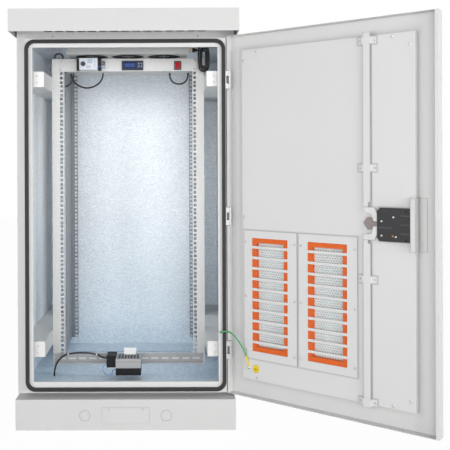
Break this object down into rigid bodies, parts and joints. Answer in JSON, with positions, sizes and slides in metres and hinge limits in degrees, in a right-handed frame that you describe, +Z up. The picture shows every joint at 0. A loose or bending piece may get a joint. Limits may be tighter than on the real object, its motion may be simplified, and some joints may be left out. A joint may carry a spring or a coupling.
{
  "type": "roadside utility cabinet",
  "caption": "White outdoor equipment cabinet on a plinth with a hinged rod-locked door, vented filter panels, foil-lined inside, rack rails, roof fans and a small heater.",
  "frame": {"origin": "centre of the plinth underside on the ground", "axes": "+Z up, the door opening faces -Y, +X to the right as seen from the front"},
  "size_m": [1.2439, 1.1058, 1.338],
  "materials": {
    "white_paint": "fine textured powder coat",
    "foil": "aluminium foil face on foam board",
    "zinc_steel": "bright zinc",
    "black_rubber": "matt",
    "black_plastic": "matt",
    "grey_plastic": "satin",
    "display": "gloss",
    "red_plastic": "gloss",
    "heater_metal": "satin",
    "latch_alloy": "plain zinc casting",
    "orange_plastic": "satin",
    "filter_fibre": "open fibre",
    "brass": "satin",
    "green_wire": "satin",
    "yellow_disc": "satin"
  },
  "bodies": {
    "cabinet": {"access_cover": "white_paint", "body_fasteners": "zinc_steel", "body_shell": "white_paint", "control_panel": "zinc_steel", "controller_case": "black_plastic", "controller_display": "display", "cord_hank": "black_rubber", "cross_bar": "zinc_steel", "door_seal": "black_rubber", "fan_frames": "black_plastic", "fan_tray": "zinc_steel", "floor_lining": "foil", "floor_plate": "white_paint", "foil_lining": "foil", "front_frame": "white_paint", "front_rails": "zinc_steel", "hat_rail": "zinc_steel", "header_strip": "white_paint", "heater_body": "heater_metal", "heater_cable": "black_rubber", "heater_clip": "grey_plastic", "heater_fan": "black_plastic", "hinge_frame_leaves": "zinc_steel", "left_cable": "black_rubber", "module_body": "grey_plastic", "module_terminals": "grey_plastic", "plinth": "white_paint", "plug_pins": "brass", "rail_supports": "zinc_steel", "rear_rails": "zinc_steel", "right_cable": "black_rubber", "rocker_bezel": "black_plastic", "roof_cap": "white_paint", "terminal_block": "grey_plastic"},
    "door": {"door_skin": "white_paint", "hinge_door_leaves": "zinc_steel", "inner_panel": "white_paint", "filter_covers": "white_paint", "filter_frames": "orange_plastic", "filter_mats": "filter_fibre", "lock_case": "black_plastic", "door_screws": "zinc_steel", "lock_angle": "zinc_steel", "rod_guides": "zinc_steel", "earth_disc": "yellow_disc", "key_escutcheon": "white_paint", "earth_wire": "green_wire"},
    "latch": {"lock_latch": "latch_alloy"},
    "upper_bolt": {"upper_rod": "zinc_steel"},
    "lower_bolt": {"lower_rod": "zinc_steel"},
    "fan_left": {"fan_rotor_left": "black_plastic"},
    "fan_middle": {"fan_rotor_middle": "black_plastic"},
    "fan_right": {"fan_rotor_right": "black_plastic"},
    "heater_blades": {"heater_rotor": "black_plastic"},
    "knob": {"module_knob": "grey_plastic"},
    "rocker": {"rocker_switch": "red_plastic"},
    "key_1": {"controller_key_1": "grey_plastic"},
    "key_2": {"controller_key_2": "grey_plastic"},
    "key_3": {"controller_key_3": "grey_plastic"},
    "key_4": {"controller_key_4": "grey_plastic"}
  },
  "joints": [
    {"name": "door_hinge", "type": "hinge", "parent": "cabinet", "child": "door", "pos_m": [0.339, -0.3048, 0.677], "axis": [0, 0, 1], "range_deg": [-140.8, 4], "deforming": ["earth_wire"]},
    {"name": "latch_slide", "type": "slide", "parent": "door", "child": "latch", "axis": [-0.7749, 0.632, 0], "range_m": [0, 0.008]},
    {"name": "upper_bolt_slide", "type": "slide", "parent": "door", "child": "upper_bolt", "axis": [0, 0, 1], "range_m": [0, 0.016]},
    {"name": "lower_bolt_slide", "type": "slide", "parent": "door", "child": "lower_bolt", "axis": [0, 0, -1], "range_m": [0, 0.016]},
    {"name": "fan_left_spin", "type": "hinge", "parent": "cabinet", "child": "fan_left", "pos_m": [-0.126, -0.115, 1.24], "axis": [0, 0, 1], "continuous": true},
    {"name": "fan_middle_spin", "type": "hinge", "parent": "cabinet", "child": "fan_middle", "pos_m": [0, -0.115, 1.24], "axis": [0, 0, 1], "continuous": true},
    {"name": "fan_right_spin", "type": "hinge", "parent": "cabinet", "child": "fan_right", "pos_m": [0.126, -0.115, 1.24], "axis": [0, 0, 1], "continuous": true},
    {"name": "heater_spin", "type": "hinge", "parent": "cabinet", "child": "heater_blades", "pos_m": [0.0015, -0.16825, 0.146], "axis": [0, 0, 1], "continuous": true},
    {"name": "knob_turn", "type": "hinge", "parent": "cabinet", "child": "knob", "pos_m": [-0.152, -0.16, 1.1925], "axis": [0, 1, 0], "range_deg": [0, 270]},
    {"name": "rocker_tip", "type": "hinge", "parent": "cabinet", "child": "rocker", "pos_m": [0.1735, -0.125, 1.19], "axis": [1, 0, 0], "range_deg": [-16, 0]},
    {"name": "key_1_press", "type": "slide", "parent": "cabinet", "child": "key_1", "axis": [0, 1, 0], "range_m": [0, 0.001], "stiffness_N_per_m": 300},
    {"name": "key_2_press", "type": "slide", "parent": "cabinet", "child": "key_2", "axis": [0, 1, 0], "range_m": [0, 0.001], "stiffness_N_per_m": 300},
    {"name": "key_3_press", "type": "slide", "parent": "cabinet", "child": "key_3", "axis": [0, 1, 0], "range_m": [0, 0.001], "stiffness_N_per_m": 300},
    {"name": "key_4_press", "type": "slide", "parent": "cabinet", "child": "key_4", "axis": [0, 1, 0], "range_m": [0, 0.001], "stiffness_N_per_m": 300}
  ],
  "couplings": [
    {"joint": "upper_bolt_slide", "follows": "latch_slide", "ratio": 2},
    {"joint": "lower_bolt_slide", "follows": "latch_slide", "ratio": 2}
  ]
}
